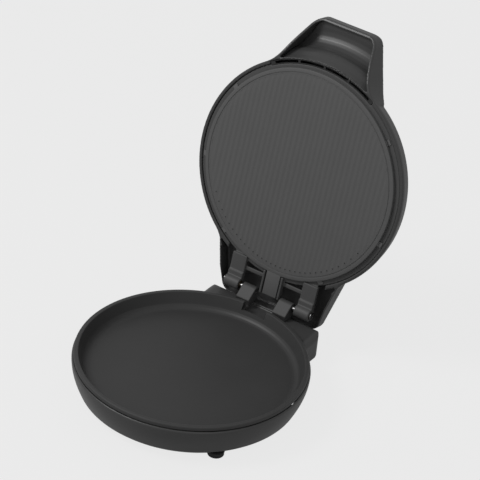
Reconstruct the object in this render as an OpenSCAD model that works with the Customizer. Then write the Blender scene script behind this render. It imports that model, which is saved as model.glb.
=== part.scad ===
// Electric pizza maker: a round base with a cooking pan and a domed lid on two hinge knuckles.
// Origin at the centre of the base on the table, +Z up, +Y towards the hinge, +X to the user's right.
// The lid is drawn closed and lid_pose() turns it to its open stop, which is the rest pose.

/* [Base] */
// outer radius of the base at its widest line
base_radius = 165; // [150:1:180]
// how far the base's underside lies inside its widest line
base_foot_inset = 13; // [10:0.5:18]
// height of the base shell's upper edge
base_edge_height = 56; // [50:0.5:62]
// height of the underside over the table
underside_height = 8; // [6:0.5:12]
// wall thickness of the moulded shells
shell_wall = 2.4; // [1.8:0.1:3.5]
// gap between two pieces seated on each other
seat_gap = 0.2; // [0.1:0.05:0.3]

/* [Hinge housing] */
// half width of the housing behind the bowl
housing_half_width = 95; // [88:1:102]
// distance from the hinge axis back to the housing's rear wall
housing_overhang = 3; // [0:0.5:5]
// height of the housing's top face
housing_top = 48; // [44:0.5:50]
// radius of the housing's upright corners
housing_corner = 18; // [8:1:24]
// radius of the housing's upper edges
housing_edge = 12; // [6:1:14]
// half width of the drip trough between the posts
trough_half_width = 19.5; // [18:0.5:19.5]
// depth of the drip trough
trough_depth = 6; // [3:0.5:8]

/* [Lower pan] */
// height of the pan's cooking face
pan_floor_height = 40; // [36:0.5:46]
// how far the pan's rim lies inside the base's widest line
pan_rim_inset = 2.2; // [1.5:0.1:4]
// width of the pan's rim
pan_rim_width = 6.8; // [5:0.1:9]
// radius of the bend between the cooking face and the wall
pan_bend = 14; // [10:0.5:18]
// how far the pan's wall leans out above the bend
pan_lean = 2; // [1:0.5:4]
// height of the pan's rim
pan_rim_height = 62; // [58:0.5:64]
// sheet thickness of the pan
pan_wall = 2.2; // [1.5:0.1:3]

/* [Lid] */
// angle of the lid at its open stop
open_angle = 103; // [95:1:106]
// how far the lid's edge stands out over the base's widest line
lid_overhang = 0.6; // [0:0.1:2]
// height of the lid's lower edge when closed
lid_edge_height = 66; // [65:0.5:70]
// height of the lid's shoulder above its lower edge
lid_skirt_height = 23; // [18:0.5:28]
// how far the lid's shoulder lies inside its edge
lid_shoulder_inset = 3.9; // [2:0.1:8]
// rise of the lid's crown over its shoulder
lid_rise = 25; // [18:1:34]
// width of the lid's edge outside the ring
lid_edge_width = 5.6; // [4:0.1:8]
// height of the ring's face above the lid's lower edge
ring_step = 2; // [1:0.1:4]
// half width of the lid's flare at its back corners
flare_half_width = 84; // [80:1:88]

/* [Upper plate] */
// width of the ring round the upper cooking plate
ring_width = 7.4; // [5:0.1:10]
// height of the upper plate's face below the lid's lower edge
plate_drop = 3; // [2:0.5:3.5]
// distance between two ribs of the upper plate
rib_pitch = 8; // [6:0.5:12]
// height of the ribs
rib_height = 0.8; // [0.6:0.1:0.9]
// width of the tongue on the hinge side
tongue_width = 23; // [18:0.5:25]

/* [Handle] */
// distance from the lid's edge to the handle's front
handle_length = 50; // [42:1:58]
// width of the handle at its front
handle_tip_width = 110; // [96:1:120]
// width of the handle at its root
handle_root_width = 150; // [140:1:160]
// height of the handle's top over the lid's lower edge
handle_rise = 60; // [54:1:66]
// thickness of the handle's outer wall
handle_wall = 4; // [3:0.5:6]
// half angle covered by the vent slots under the handle
vent_half_angle = 29; // [20:1:32]

/* [Hinge] */
// distance from the base's widest line back to the hinge axis
hinge_offset = 24; // [20:0.5:28]
// height of the hinge axis over the housing's top face
hinge_rise = 15; // [13:0.5:18]
// distance from the middle to the centre of each lid knuckle
knuckle_centre = 60; // [56:1:64]
// width of each knuckle
knuckle_width = 24; // [18:1:26]
// radius of each knuckle
knuckle_radius = 9; // [7.5:0.5:10]
// distance from the middle to the centre of each hinge post
post_centre = 31; // [30:0.5:33]
// width of each hinge post
post_width = 22; // [16:1:23]
// radius of the hinge pins
pin_radius = 3; // [2.5:0.1:4]
// radial clearance of the bushes on the pins
pin_clearance = 0.06; // [0.02:0.01:0.1]
// outer radius of the hinge bushes
bush_radius = 5; // [4.5:0.1:6]

/* [Feet] */
// distance of the front feet from the middle plane
front_foot_side = 108; // [95:1:112]
// distance of the front feet before the centre
front_foot_front = 90; // [80:1:96]
// distance of the rear feet from the middle plane
rear_foot_side = 66; // [50:1:74]
// distance of the rear feet before the housing's rear wall
rear_foot_inset = 20; // [16:1:26]
// radius of the feet
foot_radius = 12; // [9:0.5:14]

/* [Heating] */
// radius of both heating loops
loop_radius = 100; // [80:1:115]
// radius of the sheathed heating tube
tube_radius = 3.25; // [2.5:0.05:4]
// sheet thickness of the reflectors
reflector_wall = 1.2; // [0.8:0.1:2]

/* [Hidden] */
tiny = 0.01;
base_foot_radius = base_radius - base_foot_inset;
base_flat_radius = base_foot_radius - 5;
base_edge_drop = 2;
cover_thickness = 2.4;
cover_top = underside_height + cover_thickness;
cover_radius = base_flat_radius - shell_wall - seat_gap;
screw_radius = 2;
screw_hole = 2.2;
screw_head = 4;
screw_head_height = 2.4;
boss_radius = 5;
boss_height = 16;
rib_wall = 2.4;
hinge_back = base_radius + hinge_offset;
hinge_height = housing_top + hinge_rise;
post_round = 7;
housing_back = hinge_back + housing_overhang;
housing_front = base_radius * 0.7;
gland_side = 56;
gland_height = 22;
gland_bore = 6.2;
pan_rim_radius = base_radius - pan_rim_inset;
pan_mouth_radius = pan_rim_radius - pan_rim_width;
pan_floor_radius = pan_mouth_radius - pan_lean - pan_bend;
pan_underside = pan_floor_height - pan_wall;
trough_front = pan_floor_radius + pan_bend + 1.5;
trough_back = hinge_back - 3;
reflector_height = 25;
reflector_step = 6;
column_radius = 45;
column_turns = [90, 210, 330];
loop_gap_angle = 24;
leg_turn = loop_gap_angle / 2 + 2;
leg_length = 18;
lid_radius = base_radius + lid_overhang;
lid_shoulder_height = lid_edge_height + lid_skirt_height;
lid_shoulder_radius = lid_radius - lid_shoulder_inset;
lid_crown_height = lid_shoulder_height + lid_rise;
ring_radius = lid_radius - lid_edge_width;
ring_face_height = lid_edge_height + ring_step;
ring_thickness = 2.4;
ring_top = ring_face_height + ring_thickness;
ring_ledge = 15.6;
plate_radius = ring_radius - ring_width;
plate_face_height = lid_edge_height - plate_drop;
plate_thickness = 3;
plate_back = plate_face_height + plate_thickness;
plate_wall = 3;
ledge_radius = plate_radius - ring_ledge;
lid_boss_radius = plate_radius - 7.6;
lid_boss_turns = [40, 140, 220, 320];
rib_width = 3.2;
rib_field_radius = plate_radius - 8;
rib_count = floor(rib_field_radius / rib_pitch);
plate_groove = 1.4;
groove_radius = rib_field_radius + 2.2;
tongue_end = hinge_back - 2;
tongue_gap = tongue_width / 2 + 2;
lip_width = 3;
arm_bottom = plate_face_height + 1.5;
arm_front = plate_radius - 7;
clip_turns = [18, 62, 128, 171, 214, 322];
flare_front = lid_radius * 0.72;
flare_front_half = lid_radius * 0.63;
flare_back = hinge_back + 24;
flare_edge_height = lid_edge_height + 9;
flare_corner = 16;
flare_edge_round = 10;
lamp_radius = 4;
lamp_side = 13;
lamp_forward = lid_radius - 38;
lamp_seat = lid_shoulder_height + 5;
handle_reach = lid_radius + handle_length;
handle_corner = 22;
handle_root = lid_radius - 15;
handle_top = lid_edge_height + handle_rise;
handle_tip_drop = 18;
handle_slope = 0.3;
handle_edge_round = 6;
handle_waist = 60;
handle_chamfer = 46;
handle_root_round = 8;
tip_centre = [handle_tip_width / 2 - handle_corner, handle_corner - handle_reach];
root_centre = [handle_root_width / 2 - handle_root_round, -handle_root];
side_turn = atan2(root_centre[0] - tip_centre[0], root_centre[1] - tip_centre[1])
    - asin((handle_corner - handle_root_round) / norm(root_centre - tip_centre));
side_reach = root_centre[0] * cos(side_turn) - root_centre[1] * sin(side_turn) + handle_root_round;
waist_turn = side_turn + acos((side_reach + handle_waist) / (lid_radius + handle_waist));
waist_centre = (lid_radius + handle_waist) * [cos(waist_turn), -sin(waist_turn)];
grille_inner = ring_radius - 2;
grille_outer = lid_radius - 1.4;
grille_end_angle = 2;
grille_bars = 4;
liner_wall = 2;
liner_step = lid_radius + 11.4;
liner_bend = 22;
front_turn = -90;
front_foot_turn = atan2(front_foot_front, front_foot_side);

// turns the closed lid back to its open stop
module lid_pose() {
    translate([0, hinge_back, hinge_height])
        rotate([-open_angle, 0, 0])
            translate([0, -hinge_back, -hinge_height])
                children();
}

// a cylinder along X from x0 to x1 on the hinge axis
module axis_bar(radius, x0, x1) {
    translate([x0, hinge_back, hinge_height])
        rotate([0, 90, 0])
            cylinder(r = radius, h = x1 - x0, $fn = 48);
}

// a screw with its head downwards, its seat at the given height
module screw_up(seat, length) {
    translate([0, 0, seat - screw_head_height])
        cylinder(r = screw_head, h = screw_head_height, $fn = 32);
    translate([0, 0, seat - tiny])
        cylinder(r = screw_radius, h = length + tiny, $fn = 32);
}

// radius of the bowl's outer face at part s of its height, 0 at the underside and 1 at the top
function bowl_radius(s) = base_foot_radius + base_foot_inset * sin(90 * s);

// half section of the bowl, drawn inwards by inset and open at both ends when it is an inner one
module bowl_section(inset) {
    bow_height = base_edge_height - base_edge_drop - underside_height;
    over = inset > 0 ? 1 : 0;
    polygon(concat(
        [[0, underside_height - over], [base_flat_radius - inset, underside_height - over]],
        [for (i = [1:10]) [bowl_radius(i / 10) - inset,
                           underside_height + bow_height * (0.04 + 0.96 * i / 10)]],
        [[base_radius - base_edge_drop - inset, base_edge_height + over],
         [0, base_edge_height + over]]));
}

// plan view of the housing, drawn inwards by inset
module housing_plan(inset) {
    hull() {
        translate([inset - housing_half_width, housing_front])
            square([2 * (housing_half_width - inset), 10]);
        for (side = [-1, 1])
            translate([side * (housing_half_width - housing_corner), housing_back - housing_corner])
                circle(housing_corner - inset, $fn = 64);
    }
}

// the housing behind the bowl as a block, drawn inwards by inset
module housing_block(inset) {
    half = housing_half_width - inset;
    back = housing_back - inset;
    top = housing_top - inset;
    edge = housing_edge - inset;
    intersection() {
        translate([0, 0, underside_height])
            linear_extrude(top - underside_height)
                housing_plan(inset);
        rotate([90, 0, 90])
            linear_extrude(2 * half + 2, center = true)
                hull() {
                    translate([housing_front, underside_height])
                        square([back - housing_front, 10]);
                    translate([back - edge, top - edge])
                        circle(edge, $fn = 48);
                    translate([housing_front, top - 1])
                        square([1, 1]);
                }
        translate([0, housing_back + 5, 0])
            rotate([90, 0, 0])
                linear_extrude(housing_back - housing_front + 10)
                    hull() {
                        translate([-half, underside_height])
                            square([2 * half, 10]);
                        for (side = [-1, 1])
                            translate([side * (half - edge), top - edge])
                                circle(edge, $fn = 48);
                    }
    }
}

// the drip trough with its walls for an outset, and its hollow without
module trough_block(outset) {
    half = trough_half_width + outset;
    translate([-half, trough_front, housing_top - trough_depth - outset])
        cube([2 * half, trough_back - trough_front + outset, trough_depth + (outset > 0 ? outset : 20)]);
}

// the sector of the vent grille between two radii, grown at both ends by more degrees
module vent_sector(inner, outer, more, height) {
    rotate(front_turn - vent_half_angle - grille_end_angle - more)
        rotate_extrude(angle = 2 * (vent_half_angle + grille_end_angle + more), $fn = 180)
            translate([inner, 0])
                square([outer - inner, height]);
}

// the four foot places as [x, y]
function foot_places() = [
    [-front_foot_side, -front_foot_front], [front_foot_side, -front_foot_front],
    [-rear_foot_side, housing_back - rear_foot_inset], [rear_foot_side, housing_back - rear_foot_inset]];

module base_shell() {
    rear_foot = foot_places()[3];
    reach = norm([front_foot_side, front_foot_front]);
    color("#2b2b2d")
    difference() {
        union() {
            rotate_extrude($fn = 180)
                bowl_section(0);
            housing_block(0);
        }
        difference() {
            union() {
                rotate_extrude($fn = 180)
                    bowl_section(shell_wall);
                translate([0, 0, base_edge_height - 10])
                    cylinder(r = pan_rim_radius - shell_wall, h = 20, $fn = 180);
                translate([0, 0, underside_height - tiny])
                    cylinder(r = base_flat_radius - shell_wall, h = 10, $fn = 180);
                housing_block(shell_wall);
                translate([0, 0, underside_height - tiny])
                    linear_extrude(cover_thickness + 2)
                        housing_plan(shell_wall);
            }
            trough_block(shell_wall);
            for (place = foot_places())
                translate([place[0], place[1], cover_top + seat_gap])
                    cylinder(r = boss_radius, h = boss_height, $fn = 32);
            for (turn = [-front_foot_turn, front_foot_turn - 180])
                rotate(turn)
                    translate([reach + 3, -rib_wall / 2, cover_top + seat_gap])
                        cube([base_radius - reach, rib_wall, boss_height]);
            for (side = [-1, 1])
                translate([side > 0 ? rear_foot[0] + 3 : 1 - housing_half_width, rear_foot[1] - rib_wall / 2,
                           cover_top + seat_gap])
                    cube([housing_half_width - rear_foot[0] - 4, rib_wall, boss_height]);
        }
        trough_block(0);
        for (place = foot_places())
            translate([place[0], place[1], 0])
                cylinder(r = screw_hole, h = cover_top + boss_height - 2, $fn = 32);
        translate([gland_side, housing_back - 10, gland_height])
            rotate([-90, 0, 0])
                cylinder(r = gland_bore, h = 20, $fn = 48);
    }
}

module bottom_cover() {
    color("#232325")
    difference() {
        union() {
            translate([0, 0, underside_height])
                linear_extrude(cover_thickness)
                    difference() {
                        union() {
                            circle(cover_radius, $fn = 180);
                            housing_plan(shell_wall + seat_gap);
                        }
                        for (i = [-3:3])
                            translate([i * 16 - 2, -30])
                                square([4, 60 - 6 * abs(i)]);
                    }
            for (turn = column_turns)
                rotate(turn)
                    translate([column_radius, 0, cover_top - tiny])
                        cylinder(r = boss_radius, h = reflector_height - cover_top - seat_gap, $fn = 32);
        }
        for (turn = column_turns)
            rotate(turn)
                translate([column_radius, 0, 0])
                    cylinder(r = screw_hole, h = pan_underside, $fn = 32);
        for (place = foot_places())
            translate([place[0], place[1], 0])
                cylinder(r = screw_hole, h = 20, $fn = 32);
    }
}

// half section of the pan as a bent sheet
module pan_section() {
    polygon(concat(
        [[0, pan_underside], [pan_floor_radius, pan_underside]],
        [for (a = [0:15:75])
            [pan_floor_radius + pan_bend * sin(a), pan_underside + pan_bend * (1 - cos(a))]],
        [[pan_mouth_radius + pan_wall, pan_rim_height - 4 - pan_wall],
         [pan_mouth_radius + pan_wall + 0.6, pan_rim_height - pan_wall],
         [pan_rim_radius - pan_wall, pan_rim_height - pan_wall],
         [pan_rim_radius - pan_wall, base_edge_height + seat_gap],
         [pan_rim_radius - 0.3, base_edge_height + seat_gap],
         [pan_rim_radius, base_edge_height + 1],
         [pan_rim_radius, pan_rim_height - 1.6],
         [pan_rim_radius - 0.5, pan_rim_height - 0.5],
         [pan_rim_radius - 1.6, pan_rim_height],
         [pan_mouth_radius + 1.6, pan_rim_height],
         [pan_mouth_radius + 0.4, pan_rim_height - 0.5],
         [pan_mouth_radius, pan_rim_height - 1.6]],
        [for (a = [75:-15:0]) [pan_floor_radius + (pan_bend - pan_wall) * sin(a),
                               pan_floor_height + (pan_bend - pan_wall) * (1 - cos(a))]],
        [[0, pan_floor_height]]));
}

module lower_pan() {
    color("#3a3a3c")
    difference() {
        union() {
            rotate_extrude($fn = 180)
                pan_section();
            for (turn = column_turns)
                rotate(turn)
                    translate([column_radius, 0, reflector_height + reflector_wall + seat_gap])
                        cylinder(r = 4.5, h = pan_underside - reflector_height - reflector_wall, $fn = 32);
        }
        for (turn = column_turns)
            rotate(turn)
                translate([column_radius, 0, 20])
                    cylinder(r = screw_hole, h = pan_underside - 20 - 1.5, $fn = 32);
        translate([-trough_half_width, pan_floor_radius, base_edge_height - 5])
            cube([2 * trough_half_width, 40, 40]);
    }
}

// a heating loop with two upright legs; legs point down for way = -1 and up for way = 1
module heating_loop(height, way, leg) {
    rotate(90 + loop_gap_angle / 2)
        rotate_extrude(angle = 360 - loop_gap_angle, $fn = 180)
            translate([loop_radius, height])
                circle(tube_radius, $fn = 32);
    for (side = [-1, 1])
        rotate(90 + side * leg_turn)
            translate([loop_radius, 0, way > 0 ? height : height - leg])
                cylinder(r = tube_radius - 0.3, h = leg, $fn = 32);
}

module lower_element() {
    color("#8a8782")
    heating_loop(pan_underside - seat_gap - tube_radius, -1, leg_length);
}

// a shallow reflector dish with its flange outwards
module dish(floor_height, flange_height, floor_radius, flange_radius) {
    rotate_extrude($fn = 180)
        polygon([
            [0, floor_height], [floor_radius, floor_height],
            [floor_radius + 5, flange_height], [flange_radius, flange_height],
            [flange_radius, flange_height + reflector_wall],
            [floor_radius + 5 - reflector_wall, flange_height + reflector_wall],
            [floor_radius - reflector_wall, floor_height + reflector_wall],
            [0, floor_height + reflector_wall]]);
}

module leg_holes(height) {
    for (side = [-1, 1])
        rotate(90 + side * leg_turn)
            translate([loop_radius, 0, height - 10])
                cylinder(r = tube_radius + 0.4, h = 30, $fn = 32);
}

module lower_reflector() {
    color("#c9c9c6")
    difference() {
        dish(reflector_height, reflector_height + reflector_step,
             pan_floor_radius - 15, pan_floor_radius - 7);
        leg_holes(reflector_height);
        for (turn = column_turns)
            rotate(turn)
                translate([column_radius, 0, 20])
                    cylinder(r = screw_hole, h = 10, $fn = 32);
    }
}

module lower_thermostat() {
    color("#b9a98a")
    translate([0, 12, pan_underside - seat_gap - 9])
        union() {
            cylinder(r = 8, h = 9, $fn = 48);
            translate([-12, -3, 7.8])
                cube([24, 6, 1.2]);
        }
}

module thermal_fuse() {
    color("#d8d4c8")
    translate([-9, -24, reflector_height - seat_gap - 3])
        rotate([0, 90, 0])
            cylinder(r = 3, h = 18, $fn = 32);
}

module terminal_block() {
    color("#e2ddd0")
    translate([-48, housing_back - 30, cover_top + seat_gap])
        difference() {
            cube([44, 14, 13]);
            for (i = [0:2])
                translate([9 + i * 13, 7, 5])
                    cylinder(r = 2.5, h = 20, $fn = 32);
        }
}

module inlet_gland() {
    color("#1c1c1e")
    translate([gland_side, housing_back, gland_height])
        rotate([-90, 0, 0])
            difference() {
                union() {
                    translate([0, 0, -9])
                        cylinder(r = gland_bore - seat_gap, h = 12, $fn = 48);
                    translate([0, 0, seat_gap])
                        cylinder(r = gland_bore + 2.8, h = 2.4, $fn = 48);
                }
                translate([0, 0, -20])
                    cylinder(r = 3.4, h = 40, $fn = 48);
            }
}

module gland_nut() {
    color("#1c1c1e")
    translate([gland_side, housing_back - shell_wall - seat_gap - 3, gland_height])
        rotate([-90, 0, 0])
            difference() {
                cylinder(r = 10, h = 3, $fn = 6);
                translate([0, 0, -1])
                    cylinder(r = gland_bore, h = 5, $fn = 48);
            }
}

// side view of a hinge post, Y to the right and Z up
module post_profile() {
    hull() {
        translate([hinge_back, hinge_height])
            circle(post_round, $fn = 48);
        translate([hinge_back - 18, housing_top + seat_gap])
            square([18 + housing_overhang - housing_edge + 8, 4]);
        translate([hinge_back - 18, housing_top + 8])
            circle(1.2, $fn = 24);
    }
}

module hinge_post(side) {
    difference() {
        translate([side * post_centre, 0, 0])
            rotate([90, 0, 90])
                linear_extrude(post_width, center = true)
                    post_profile();
        axis_bar(pin_radius + 0.03, side > 0 ? 10 : -50, side > 0 ? 50 : -10);
    }
}

module hinge_post_left() {
    color("#303032")
    hinge_post(-1);
}

module hinge_post_right() {
    color("#303032")
    hinge_post(1);
}

module hinge_pin(side) {
    outer = knuckle_centre + knuckle_width / 2 + 0.4;
    inner = post_centre - post_width / 2 + 0.5;
    mirror([side < 0 ? 1 : 0, 0, 0])
        union() {
            axis_bar(pin_radius, inner, outer + tiny);
            axis_bar(bush_radius, outer, outer + 1.6);
        }
}

module hinge_pin_left() {
    color("#a8a8a6")
    hinge_pin(-1);
}

module hinge_pin_right() {
    color("#a8a8a6")
    hinge_pin(1);
}

module foot(place) {
    translate([place[0], place[1], 0])
        difference() {
            rotate_extrude($fn = 64)
                polygon([
                    [0, 0], [foot_radius - 2.5, 0], [foot_radius - 1.2, 0.8],
                    [foot_radius, underside_height - seat_gap], [0, underside_height - seat_gap]]);
            translate([0, 0, -1])
                cylinder(r = screw_head + 0.6, h = 1 + 4, $fn = 32);
            cylinder(r = screw_hole, h = 20, $fn = 32);
        }
}

module foot_front_left() {
    color("#161617")
    foot(foot_places()[0]);
}

module foot_front_right() {
    color("#161617")
    foot(foot_places()[1]);
}

module foot_rear_left() {
    color("#161617")
    foot(foot_places()[2]);
}

module foot_rear_right() {
    color("#161617")
    foot(foot_places()[3]);
}

module foot_screw(place) {
    translate([place[0], place[1], 0])
        screw_up(4 - seat_gap, 16);
}

module foot_screw_front_left() {
    color("#a8a8a6")
    foot_screw(foot_places()[0]);
}

module foot_screw_front_right() {
    color("#a8a8a6")
    foot_screw(foot_places()[1]);
}

module foot_screw_rear_left() {
    color("#a8a8a6")
    foot_screw(foot_places()[2]);
}

module foot_screw_rear_right() {
    color("#a8a8a6")
    foot_screw(foot_places()[3]);
}

module pan_screw(i) {
    rotate(column_turns[i])
        translate([column_radius, 0, 0])
            screw_up(underside_height - seat_gap, 26);
}

module pan_screw_a() {
    color("#a8a8a6")
    pan_screw(0);
}

module pan_screw_b() {
    color("#a8a8a6")
    pan_screw(1);
}

module pan_screw_c() {
    color("#a8a8a6")
    pan_screw(2);
}

// half section of the lid's dome, drawn inwards by inset and open below when it is an inner one
module dome_section(inset) {
    rise = lid_rise - inset;
    side = lid_radius - inset;
    low = inset > 0 ? lid_edge_height - 1 : lid_edge_height;
    polygon(concat(
        [[0, low], [side - 0.8, low], [side, low + 0.8], [side, lid_edge_height + 6]],
        [for (a = [90:-7.5:7.5])
            [(lid_shoulder_radius - inset) * sin(a), lid_shoulder_height + rise * cos(a)]],
        [[0, lid_crown_height - inset]]));
}

// plan view of the handle, drawn inwards by inset
module handle_plan(inset) {
    hull() {
        for (side = [-1, 1]) {
            translate([side * tip_centre[0], tip_centre[1]])
                circle(handle_corner - inset, $fn = 64);
            translate([side * root_centre[0], root_centre[1]])
                circle(handle_root_round - inset, $fn = 32);
        }
    }
}

// plan view of one sweep from the handle's side into the lid's side
module waist_plan(inset) {
    polygon(concat(
        [[handle_root_width / 2 - 20, -handle_root - 10]],
        [for (i = [0:8])
            let (a = side_turn + (waist_turn - side_turn) * i / 8)
            [waist_centre[0] - (handle_waist + inset) * cos(a),
             waist_centre[1] + (handle_waist + inset) * sin(a)]],
        [[handle_root_width / 2 + 20, -lid_radius * 0.6], [handle_root_width / 2 - 20, -lid_radius * 0.6]]));
}

// side view of the handle, forward to the left and Z up, its top and front drawn inwards by inset
module handle_profile(inset) {
    front = inset - handle_reach;
    top = handle_top - inset;
    round_off = handle_edge_round - min(inset, 4);
    slope_run = handle_reach - handle_edge_round - lid_radius * 0.7;
    polygon(concat(
        [[-lid_radius * 0.7, lid_edge_height], [15 - lid_radius, lid_edge_height],
         [4 - lid_radius, lid_edge_height + 2.5], [-lid_radius - handle_length * 0.15, lid_edge_height + 8],
         [-lid_radius - handle_length * 0.4, lid_edge_height + 17],
         [-lid_radius - handle_length * 0.65, lid_edge_height + 28],
         [-lid_radius - handle_length * 0.88, lid_edge_height + 38.5],
         [front, handle_top - handle_tip_drop]],
        [for (a = [0:15:90]) [front + round_off * (1 - cos(a)), top - round_off * (1 - sin(a))]],
        [[-lid_radius * 0.7, top - slope_run * handle_slope]]));
}

// front view of the handle, its upper edges cut at an angle, drawn inwards by inset
module handle_front(inset) {
    wide = handle_root_width / 2 + 25;
    top = handle_top - 1.4 * inset;
    polygon([
        [-wide, 0], [wide, 0], [wide, top - handle_chamfer], [wide - handle_chamfer * 0.9, top + tiny],
        [handle_chamfer * 0.9 - wide, top + tiny], [-wide, top - handle_chamfer]]);
}

// the handle drawn inwards by inset, its inner form open below by drop
module handle_solid(inset, drop) {
    intersection() {
        translate([0, 0, lid_edge_height - drop])
            linear_extrude(handle_rise + drop + 10) {
                handle_plan(inset);
                for (side = [0, 1])
                    mirror([side, 0])
                        waist_plan(inset);
            }
        rotate([90, 0, 90])
            linear_extrude(2 * lid_radius, center = true)
                union() {
                    handle_profile(inset);
                    if (drop > 0)
                        translate([-handle_reach - 5, lid_edge_height - drop])
                            square([handle_reach - lid_radius * 0.7,
                                    drop + handle_rise - handle_tip_drop - 4]);
                }
        rotate([90, 0, 0])
            linear_extrude(handle_reach + 5)
                handle_front(inset);
    }
}

// plan view of the flare, drawn inwards by inset
module flare_plan(inset) {
    hull() {
        translate([inset - flare_front_half, flare_front])
            square([2 * (flare_front_half - inset), 1]);
        for (side = [-1, 1]) {
            translate([side * (flare_half_width + 7 - flare_corner), hinge_back - 30])
                circle(flare_corner - inset, $fn = 64);
            translate([side * (flare_half_width - flare_corner), flare_back - flare_corner])
                circle(flare_corner - inset, $fn = 64);
        }
    }
}

// the flare that covers the knuckles, drawn inwards by inset
module flare_solid(inset) {
    top = lid_shoulder_height - inset;
    over = inset > 0 ? 5 : 0;
    intersection() {
        translate([0, 0, lid_edge_height - 5])
            linear_extrude(60)
                flare_plan(inset);
        rotate([90, 0, 90])
            linear_extrude(2 * lid_radius, center = true)
                polygon(concat(
                    [[flare_front, top], [flare_front, lid_edge_height - over],
                     [hinge_back - 13, lid_edge_height - over],
                     [flare_back - inset, flare_edge_height - over]],
                    [for (a = [0:15:90]) [flare_back - inset - flare_edge_round * (1 - cos(a)),
                                          top - flare_edge_round * (1 - sin(a))]]));
    }
}

module lid_shell() {
    color("#2f2f31")
    lid_pose()
        difference() {
            union() {
                rotate_extrude($fn = 180)
                    dome_section(0);
                handle_solid(0, 0);
                flare_solid(0);
            }
            difference() {
                union() {
                    rotate_extrude($fn = 180)
                        dome_section(shell_wall);
                    flare_solid(shell_wall);
                    translate([0, 0, lid_edge_height - 1])
                        cylinder(r = ring_radius + seat_gap, h = 8, $fn = 180);
                    handle_solid(handle_wall, 10);
                }
                for (turn = lid_boss_turns)
                    rotate(turn)
                        translate([lid_boss_radius, 0, ring_top + seat_gap])
                            cylinder(r = 4.5, h = 50, $fn = 32);
                translate([0, 0, lid_edge_height - 2])
                    difference() {
                        cylinder(r = lid_radius + 1, h = 6, $fn = 180);
                        translate([0, 0, -1])
                            cylinder(r = ring_radius + seat_gap, h = 8, $fn = 180);
                        translate([shell_wall - flare_half_width, flare_front, -1])
                            cube([2 * (flare_half_width - shell_wall), 80, 12]);
                    }
            }
            for (turn = lid_boss_turns)
                rotate(turn)
                    translate([lid_boss_radius, 0, ring_top - 1])
                        cylinder(r = screw_hole, h = 14, $fn = 32);
            for (side = [-1, 1])
                translate([side * lamp_side, -lamp_forward, lamp_seat - 4])
                    cylinder(r = lamp_radius + 0.2, h = 30, $fn = 32);
            translate([0, 0, lid_edge_height - 1])
                vent_sector(grille_inner - 8, grille_outer + seat_gap, 0.2,
                            ring_top + seat_gap - lid_edge_height + 1);
        }
}

module lid_frame() {
    color("#353537")
    lid_pose()
        difference() {
            union() {
                difference() {
                    translate([0, 0, ring_face_height])
                        cylinder(r = ring_radius, h = ring_thickness, $fn = 180);
                    translate([0, 0, ring_face_height - 1])
                        cylinder(r = ledge_radius, h = ring_thickness + 2, $fn = 180);
                    translate([-tongue_gap, ledge_radius - 20, ring_face_height - 1])
                        cube([2 * tongue_gap, 60, 8]);
                }
                for (side = [-1, 1]) {
                    translate([side * knuckle_centre - knuckle_width / 2, arm_front, arm_bottom])
                        cube([knuckle_width, hinge_back - arm_front, ring_top - arm_bottom]);
                    translate([side * knuckle_centre - knuckle_width / 2, hinge_back - 17, arm_bottom - 2])
                        cube([knuckle_width, 17, ring_top - arm_bottom + 2]);
                    axis_bar(knuckle_radius, side * knuckle_centre - knuckle_width / 2,
                             side * knuckle_centre + knuckle_width / 2);
                    translate([side * (tongue_gap + lip_width / 2) - lip_width / 2, plate_radius,
                               plate_face_height - 1])
                        cube([lip_width, tongue_end + 1 - plate_radius, ring_top - plate_face_height + 1]);
                    translate([side > 0 ? tongue_gap : -knuckle_centre, plate_radius + 8, ring_face_height])
                        cube([knuckle_centre - tongue_gap, 6, ring_thickness]);
                }
            }
            for (side = [-1, 1])
                axis_bar(bush_radius + 0.03, side * knuckle_centre - knuckle_width,
                         side * knuckle_centre + knuckle_width);
            for (turn = lid_boss_turns)
                rotate(turn)
                    translate([lid_boss_radius, 0, ring_face_height - 1])
                        cylinder(r = screw_hole, h = 10, $fn = 32);
            translate([0, 0, plate_face_height - 4])
                cylinder(r = plate_radius + seat_gap, h = ring_face_height - plate_face_height + 4,
                         $fn = 180);
            translate([0, 0, ring_face_height - 1])
                vent_sector(grille_inner - seat_gap, ring_radius + 5, 0.2, 10);
        }
}

module upper_plate() {
    color("#4a4a4c")
    lid_pose()
        union() {
            difference() {
                union() {
                    translate([0, 0, plate_face_height])
                        cylinder(r = plate_radius, h = plate_thickness, $fn = 180);
                    translate([-tongue_width / 2, plate_radius - 12, plate_face_height])
                        cube([tongue_width, tongue_end - plate_radius + 12, plate_thickness]);
                    translate([0, 0, plate_face_height + 1])
                        difference() {
                            cylinder(r = plate_radius, $fn = 180,
                                     h = ring_face_height - seat_gap - plate_face_height - 1);
                            translate([0, 0, -1])
                                cylinder(r = plate_radius - plate_wall, h = 12, $fn = 180);
                        }
                }
                translate([0, 0, plate_face_height - 1])
                    difference() {
                        cylinder(r = groove_radius, h = 1.8, $fn = 180);
                        translate([0, 0, -1])
                            cylinder(r = groove_radius - plate_groove, h = 5, $fn = 180);
                    }
            }
            translate([0, 0, plate_face_height - rib_height])
                linear_extrude(rib_height + tiny)
                    intersection() {
                        circle(rib_field_radius, $fn = 120);
                        for (i = [-rib_count:rib_count])
                            translate([i * rib_pitch - rib_width / 2, -rib_field_radius])
                                square([rib_width, 2 * rib_field_radius]);
                    }
        }
}

module upper_element() {
    color("#8a8782")
    lid_pose()
        heating_loop(plate_back + seat_gap + tube_radius, 1, 16);
}

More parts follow.
